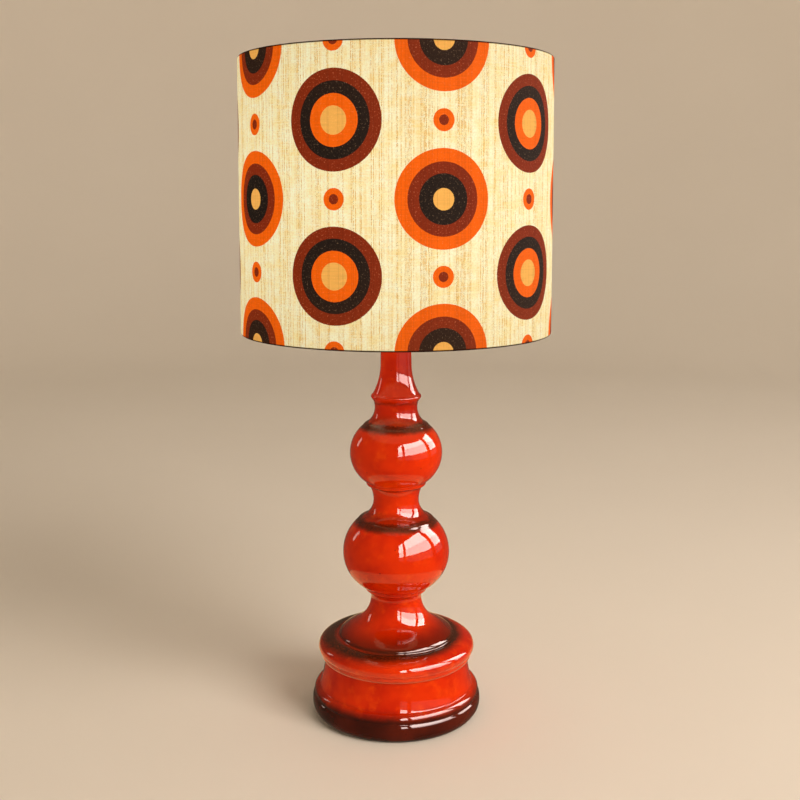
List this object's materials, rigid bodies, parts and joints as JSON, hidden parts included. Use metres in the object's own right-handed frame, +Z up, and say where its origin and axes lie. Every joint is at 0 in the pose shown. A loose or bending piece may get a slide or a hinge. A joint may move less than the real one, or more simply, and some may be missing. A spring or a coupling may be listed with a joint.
{
  "type": "table lamp",
  "caption": "Turned glazed ceramic table lamp with a printed fabric drum shade that turns, a push-through switch and a screw-in bulb.",
  "frame": {"origin": "on the lamp's vertical axis, at the underside of the felt pad", "axes": "+Z up along the lamp's axis, -Y towards the viewer, +Y towards the cord inlet"},
  "size_m": [0.3, 0.3, 0.646],
  "materials": {
    "glaze": "red-orange gloss glaze with brown-black bands",
    "felt": "dark felt",
    "zinc_steel": "zinc plated steel",
    "cork": "pressed cork",
    "black_plastic": "soft black plastic",
    "cap_brass": "polished brass",
    "plain_brass": "plain brass",
    "holder_moulding": "moulded black thermoset",
    "switch_moulding": "moulded ivory thermoset",
    "porcelain": "unglazed white porcelain",
    "bulb_opal": "opal glass, lit warm white",
    "bulb_metal": "rolled cap",
    "bulb_black_glass": "black cap glass",
    "solder": "solder",
    "stem_glass": "clear glass",
    "nickel_wire": "nickel wire",
    "tungsten": "coiled tungsten wire",
    "white_wire": "white powder coat",
    "printed_cloth": "slubbed cream cloth with an orange and brown print, lit from inside",
    "shade_lining": "white laminate"
  },
  "bodies": {
    "base": {"ceramic_body": "glaze", "felt_pad": "felt", "base_plate": "zinc_steel", "base_washer": "zinc_steel", "base_nut": "zinc_steel", "threaded_tube": "zinc_steel", "cord_grommet": "black_plastic", "neck_washer": "cork", "neck_cap": "cap_brass", "neck_nut": "zinc_steel", "entry_bush": "plain_brass", "grub_screw": "zinc_steel", "holder_cup": "holder_moulding", "holder_sleeve": "holder_moulding", "holder_core": "porcelain", "screw_shell": "plain_brass", "core_screws": "zinc_steel", "centre_tongue": "plain_brass", "terminal_blocks": "plain_brass", "terminal_screws": "zinc_steel", "switch_posts": "plain_brass", "lower_shade_ring": "holder_moulding", "upper_shade_ring": "holder_moulding"},
    "switch": {"push_bar": "switch_moulding", "bridge_contact": "plain_brass"},
    "bulb_lift": {"bulb_contact": "solder"},
    "bulb": {"bulb_glass": "bulb_opal", "bulb_cap": "bulb_metal", "bulb_insulator": "bulb_black_glass", "bulb_stem": "stem_glass", "lead_wires": "nickel_wire", "filament": "tungsten"},
    "shade": {"shade_cloth": "printed_cloth", "shade_liner": "shade_lining", "top_wire": "white_wire", "bottom_wire": "white_wire", "fitter_plate": "white_wire", "spider_arm_1": "white_wire", "spider_arm_2": "white_wire", "spider_arm_3": "white_wire"}
  },
  "joints": [
    {"name": "switch_push", "type": "slide", "parent": "base", "child": "switch", "axis": [1, 0, 0], "range_m": [0, 0.006]},
    {"name": "shade_turn", "type": "hinge", "parent": "base", "child": "shade", "pos_m": [0, 0, 0.448], "axis": [0, 0, 1], "continuous": true},
    {"name": "bulb_rise", "type": "slide", "parent": "base", "child": "bulb_lift", "axis": [0, 0, 1], "range_m": [0, 0.02178]},
    {"name": "bulb_turn", "type": "hinge", "parent": "bulb_lift", "child": "bulb", "pos_m": [0, 0, 0.46], "axis": [0, 0, 1], "range_deg": [0, 2160]}
  ],
  "couplings": [
    {"joint": "bulb_turn", "follows": "bulb_rise", "rad_per_m": 1730.9}
  ]
}
